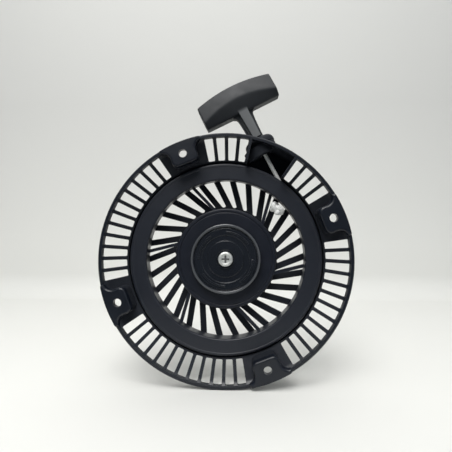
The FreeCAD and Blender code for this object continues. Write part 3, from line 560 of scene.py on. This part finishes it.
def braided(name, line, around, radius=ROPE_RADIUS):
    """Mesh of a braided cord along a line of points, with rounded ends and a ring of around points."""
    bm = bmesh.new()
    uv = bm.loops.layers.uv.new("UVMap")
    lengths = [0.0]
    for a, b in zip(line, line[1:]):
        lengths.append(lengths[-1] + (b - a).length)
    side = (line[1] - line[0]).orthogonal().normalized()
    rings = []
    last = len(line) - 1
    for i, centre in enumerate(line):
        ahead = (line[min(i + 1, last)] - line[max(i - 1, 0)]).normalized()
        side = (side - ahead * side.dot(ahead)).normalized()
        up = ahead.cross(side)
        ends = min(lengths[i], lengths[-1] - lengths[i])
        full = math.sqrt(max(0.0, 1.0 - max(0.0, 1.0 - ends / radius) ** 2))
        ring = []
        for j in range(around):
            turn = 2 * math.pi * j / around
            height = braid_height(STRANDS * j / around, STRANDS * lengths[i] / BRAID_PITCH)
            sunk = BRAID_RELIEF * (1.0 - height / (1 + BRAID_CROSSING))
            reach = (radius - sunk) * max(full, END_RADIUS)
            ring.append(bm.verts.new(centre + (side * math.cos(turn) + up * math.sin(turn)) * reach))
        rings.append(ring)
    for i, (low, high) in enumerate(zip(rings, rings[1:])):
        for j in range(around):
            k = (j + 1) % around
            face = bm.faces.new((low[j], low[k], high[k], high[j]))
            face.smooth = True
            corners = ((j, i), (j + 1, i), (j + 1, i + 1), (j, i + 1))
            for loop, (column, row) in zip(face.loops, corners):
                loop[uv].uv = (STRANDS * column / around, STRANDS * lengths[row] / BRAID_PITCH)
    for ring in (list(reversed(rings[0])), rings[-1]):
        bm.faces.new(ring).smooth = True
    mesh = bpy.data.meshes.new(name)
    bm.to_mesh(mesh)
    bm.free()
    return mesh


def stepped(path, start, end, count):
    """Points of a path at even steps from start to end."""
    return [path(start + (end - start) * i / count) for i in range(count + 1)]


line_low, line_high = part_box("rope_line")
ROPE_DEPTH = (line_low.y + line_high.y) / 2
LEAD_START, LEAD_END = 2 * MM, 122 * MM          # of the straight run, along the pull


def on_rope(along):
    """Point on the rope's straight run, along it from where it leaves the pulley."""
    return OUTWARD * ROPE_REACH + PULL * along + Vector((0.0, ROPE_DEPTH, 0.0))


def build_rope_line():
    """Taut run from the pulley through the guide into the grip."""
    mesh = braided("rope_lead", stepped(on_rope, LEAD_START, LEAD_END, 480), 48)
    piece = new_piece("rope_lead", mesh, "rope", None, "rope_line")
    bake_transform(piece)


COIL_TURNS = 3
KNOT_TURN = math.radians(45.3)   # where the knot's hole is, from the X axis


def build_rope_coil():
    """Three turns side by side in the pulley's groove, from the knot's hole to the straight run."""
    low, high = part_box("rope_coil")
    front, back = low.y + ROPE_RADIUS, high.y - ROPE_RADIUS
    start, end = KNOT_TURN - 2 * math.pi * COIL_TURNS, ROPE_TURN
    count = 360 * COIL_TURNS

    def path(turn):
        """Each turn lies beside the last and shifts over in its final sixth."""
        done = (turn - start) / (end - start) * COIL_TURNS
        whole = math.floor(done)
        part = max(0.0, (done - whole - 5 / 6) * 6)
        shift = (whole + part * part * (3 - 2 * part)) / COIL_TURNS
        depth = front + (back - front) * shift
        return Vector((math.cos(turn) * ROPE_REACH, depth, math.sin(turn) * ROPE_REACH))

    mesh = braided("rope_winding", stepped(path, start, end, count), 20)
    new_piece("rope_winding", mesh, "rope", "pulley", "rope_coil")


KNOT_SIZE = 1.92 * MM
KNOT_ROPE = 2.30 * MM            # radius of the cord in the knot, where it bulges a little
KNOT_SLACK = 1.7 * MM            # the knot hangs this far inside its hole
KNOT_LEAD, KNOT_TAIL = 0.6 * MM, 1.2 * MM
KNOT_STEP = 0.25 * MM
KNOT_GAP = 0.34                  # half of the opening in the trefoil, where lead and tail start


def knot_line():
    """Overhand knot about the origin, flat in XY: an opened trefoil with a lead and a tail."""
    def path(turn):
        return Vector((
            math.sin(turn) + 2 * math.sin(2 * turn),
            (math.cos(turn) - 2 * math.cos(2 * turn)) * 0.72 + 0.6,
            -1.15 * math.sin(3 * turn),
        )) * KNOT_SIZE

    loop = stepped(path, math.pi + KNOT_GAP, 3 * math.pi - KNOT_GAP, 260)
    first = (loop[0] - loop[1]).normalized() * KNOT_STEP
    final = (loop[-1] - loop[-2]).normalized() * KNOT_STEP
    before = [loop[0] + first * i for i in range(int(KNOT_LEAD / KNOT_STEP), 0, -1)]
    after = [loop[-1] + final * i for i in range(1, int(KNOT_TAIL / KNOT_STEP) + 1)]
    return before + loop + after


def build_pulley_knot():
    """Knot that holds the rope's end on the inner side of its hole in the pulley."""
    low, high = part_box("pulley_knot")
    outward = Vector((math.cos(KNOT_TURN), 0.0, math.sin(KNOT_TURN)))
    centre = (low + high) / 2 - outward * KNOT_SLACK
    clockwise = Vector((math.sin(KNOT_TURN), 0.0, -math.cos(KNOT_TURN)))
    turned = Matrix((clockwise, outward, clockwise.cross(outward))).transposed()
    mesh = braided("rope_knot", [centre + turned @ point for point in knot_line()], 40, KNOT_ROPE)
    new_piece("rope_knot", mesh, "rope", "pulley", "pulley_knot")


# ---------------------------------------------------------------- grip

# Millimetres in the grip's own axes: X along the bar, Y up the pull and Z to the front.
GRIP_TILT = math.radians(-1.5)
GRIP_HALF = 36.8                 # half of the bar's length
GRIP_TOP = 14.2                  # top of the bar in the middle
GRIP_END_TOP = 9.3               # and at its ends
GRIP_BOTTOM = -13.2
GRIP_DEEP = 9.5                  # half of the bar's depth
STEM_FOOT = -39.9
WEB_TOP = -8.0
PLUG_RADIUS = 4.94
PLUG_DEPTH = 3.6
ROPE_HOLE = 2.5                  # radius of the hole up the stem
ROPE_HOLE_TOP = -10.0
WASHER_MIDDLE = -1.9             # height of the washer that the knot pulls against
CUTTER_SIDES = 48


def grip_place():
    """Matrix from the grip's own axes and millimetres to the model's frame."""
    low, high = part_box("grip_washer")
    washer = PULL.dot((low + high) / 2 - OUTWARD * ROPE_REACH)
    axes = Matrix((OUTWARD, PULL, Vector((0, -1, 0)))).transposed().to_4x4()
    middle = Matrix.Translation(on_rope(washer - WASHER_MIDDLE * MM))
    return middle @ axes @ Matrix.Diagonal((MM, MM, MM, 1.0))


def bar_section(x):
    """Section of the bar at x: crowned top, and a crease along each face that arches in the middle."""
    share = (x / GRIP_HALF) ** 2
    top = GRIP_TOP - (GRIP_TOP - GRIP_END_TOP) * share
    crease = 0.6 - 8.0 * share
    deep = GRIP_DEEP * (1 - 0.10 * share)
    half = [
        (GRIP_BOTTOM, deep * 0.30),
        (GRIP_BOTTOM, deep * 0.58),
        (GRIP_BOTTOM + 0.7, deep * 0.66),
        (crease - 0.45, deep * 0.99),
        (crease + 0.45, deep * 0.99),
        (top - 1.3, deep * 0.70),
        (top - 0.3, deep * 0.62),
        (top, deep * 0.30),
    ]
    return half + [(y, -z) for y, z in reversed(half)]


def grip_bar():
    """Tilted bar with rounded ends."""
    tilt = Matrix.Rotation(GRIP_TILT, 4, "Z")
    columns = [GRIP_HALF * share for share in (-1, -0.985, -0.94, -0.8, -0.6, -0.4, -0.2, 0)]
    columns += [-x for x in reversed(columns[:-1])]
    middle = (GRIP_END_TOP + GRIP_BOTTOM) / 2
    rings = []
    for x in columns:
        inset = 0.94 if abs(x) == GRIP_HALF else 1.0
        corners = [(x, middle + (y - middle) * inset, z * inset) for y, z in bar_section(x)]
        rings.append([tilt @ Vector(corner) for corner in corners])
    bar = loose("bar", lofted(rings, grip_place()))
    bar.modifiers.new("smooth", "SUBSURF").levels = 2
    return bar


def rounded_block(name, rings, width):
    """Closed block through rings of corners, with its edges rounded by width."""
    block = loose(name, lofted(rings, grip_place()))
    bevel = block.modifiers.new("round", "BEVEL")
    bevel.width = width * MM
    bevel.segments = 3
    bevel.limit_method = "ANGLE"
    bevel.angle_limit = math.radians(40)
    return block


def oblong(half, y, deep):
    """Corners of a level oblong at height y."""
    return [(-half, y, -deep), (half, y, -deep), (half, y, deep), (-half, y, deep)]


def grip_stem():
    """Flat plate that flares and thickens into the bar."""
    heights = (
        (STEM_FOOT, 6.3), (-30, 6.65), (-22, 7.1), (-17, 7.7), (-15, 8.6), (-13.4, 11), (-11, 11.5),
    )
    rings = [oblong(half, y, 3.0 + max(0, y + 16) * 0.5) for y, half in heights]
    return rounded_block("stem", rings, 0.8)


def grip_web():
    """Thicker middle of the stem, proud of the plate on both sides."""
    return rounded_block("web", [oblong(3.9, STEM_FOOT, 9.3), oblong(4.7, WEB_TOP, 6.6)], 0.7)


def round_cutter(name, radius, low, high):
    """Cylinder about the grip's Y axis."""
    turns = [2 * math.pi * i / CUTTER_SIDES for i in range(CUTTER_SIDES)]
    circle = [(radius * math.cos(turn), radius * math.sin(turn)) for turn in turns]
    rings = [[(x, y, z) for x, z in circle] for y in (low, high)]
    return loose(name, lofted(rings, grip_place()))


def build_grip():
    """T-shaped grip, with the rope's hole up the stem and the plug's hole in the top."""
    solid = combined("grip_solid", grip_bar(), [grip_stem(), grip_web()], "UNION")
    cutters = [
        round_cutter("rope_hole", ROPE_HOLE, STEM_FOOT - 1, ROPE_HOLE_TOP),
        round_cutter("plug_hole", PLUG_RADIUS, GRIP_TOP - PLUG_DEPTH, GRIP_TOP + 2.0),
    ]
    solid = combined("grip_cut", solid, cutters, "DIFFERENCE")
    mesh = final_mesh(solid)
    mesh.name = "pull_grip"
    mesh.shade_smooth()
    mesh.set_sharp_from_angle(angle=math.radians(32))
    new_piece("pull_grip", mesh, "grip_plastic", "handle", "grip")


# ---------------------------------------------------------------- stage and light

FLOOR_TURN = math.radians(-89.0)      # where the rim touches the floor, from the X axis
WALL_DEPTH = 0.46                     # of the wall behind the touching place
WALL_HEIGHTS = (0.6, 2.0)
SWEEP = 0.05                          # radius of the bend between floor and wall
SWEEP_STEPS = 16
FLOOR_FRONT = 0.14                    # the floor's edge, in front of the touching place


def build_backdrop():
    """Pale floor that sweeps up into a wall behind the object, level in the picture."""
    rim = max(abs(cad_box[0].x), abs(cad_box[1].x))
    touch = Vector((math.cos(FLOOR_TURN) * rim, 0.0, math.sin(FLOOR_TURN) * rim))
    profile = [(-FLOOR_FRONT, 0.0), (0.0, 0.0), (WALL_DEPTH - SWEEP, 0.0)]
    for i in range(1, SWEEP_STEPS):
        turn = math.pi / 2 * i / SWEEP_STEPS
        profile.append((WALL_DEPTH - SWEEP + SWEEP * math.sin(turn), SWEEP * (1 - math.cos(turn))))
    profile += [(WALL_DEPTH, height) for height in (SWEEP, *WALL_HEIGHTS)]
    bm = bmesh.new()
    rows = [[bm.verts.new((x, y, z)) for x in (-2.5, -0.8, 0.0, 0.8, 2.5)] for y, z in profile]
    for near, far in zip(rows, rows[1:]):
        for i in range(len(near) - 1):
            bm.faces.new((near[i], near[i + 1], far[i + 1], far[i])).smooth = True
    backdrop = loose("backdrop", bm)
    backdrop.data.materials.append(backdrop_paper())
    level = Matrix.Rotation(math.pi / 2 + FLOOR_TURN, 4, "Y").inverted()
    backdrop.matrix_world = Matrix.Translation(touch) @ level


def add_area_light(name, place, target, size, power, colour):
    """Rectangular lamp at a place, turned to a target; size in metres and power in watts."""
    data = bpy.data.lights.new(name, "AREA")
    data.shape = "RECTANGLE"
    data.size, data.size_y = size
    data.energy = power
    data.color = colour
    light = bpy.data.objects.new(name, data)
    light.location = place
    light.rotation_mode = "QUATERNION"
    light.rotation_quaternion = (Vector(target) - Vector(place)).to_track_quat("-Z", "Y")
    bpy.context.scene.collection.objects.link(light)


def build_light():
    """Broad lamp overhead, a softbox above the camera to its left, and a weak blue one at the right."""
    add_area_light("ceiling", (-0.05, -0.10, 1.25), (0, 0.1, 0), (1.5, 1.3), 11.0, (1.0, 0.995, 0.975))
    add_area_light("softbox", (-0.20, -0.76, 0.99), (0, 0, 0), (0.7, 0.8), 14.0, (1.0, 0.995, 0.98))
    add_area_light("window", (1.3, -0.9, 0.7), (0, 0, 0), (0.9, 0.9), 2.0, (0.88, 0.94, 1.0))
    world = bpy.data.worlds.new("studio")
    world.use_nodes = True
    background = world.node_tree.nodes["Background"]
    background.inputs["Color"].default_value = (0.84, 0.92, 1.0, 1.0)
    background.inputs["Strength"].default_value = 0.16
    bpy.context.scene.world = world
    bpy.context.scene.view_settings.view_transform = "Standard"


finish_cad_nodes()
build_rope_coil()
build_rope_line()
build_pulley_knot()
build_grip()
build_backdrop()
build_light()
